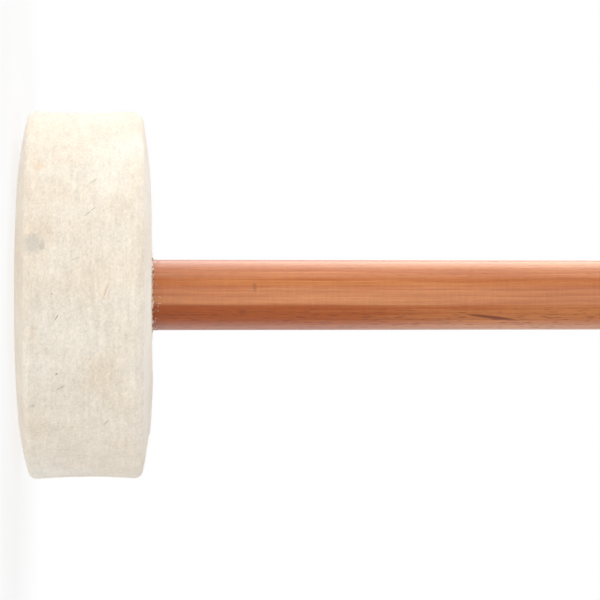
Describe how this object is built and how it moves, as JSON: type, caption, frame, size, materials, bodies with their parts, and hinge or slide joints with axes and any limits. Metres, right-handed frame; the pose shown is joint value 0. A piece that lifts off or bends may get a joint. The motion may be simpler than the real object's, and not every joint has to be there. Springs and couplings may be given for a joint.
{
  "type": "gong mallet",
  "caption": "Gong mallet with a thick crowned disc of pressed wool felt, clamped and glued on the spigot of a straight round wooden handle.",
  "frame": {"origin": "centre of the felt disc's flat front face, on which the mallet stands", "axes": "+Z along the handle, from the disc's front face to the handle's free end"},
  "size_m": [0.1296, 0.1296, 0.38],
  "materials": {
    "felt": "matte",
    "beech": "satin",
    "steel": "satin",
    "glue": "satin"
  },
  "bodies": {
    "root": {"felt_head": "felt", "handle": "beech", "clamp_washer": "steel", "retaining_screw": "steel", "glue_bead": "glue"}
  },
  "joints": []
}
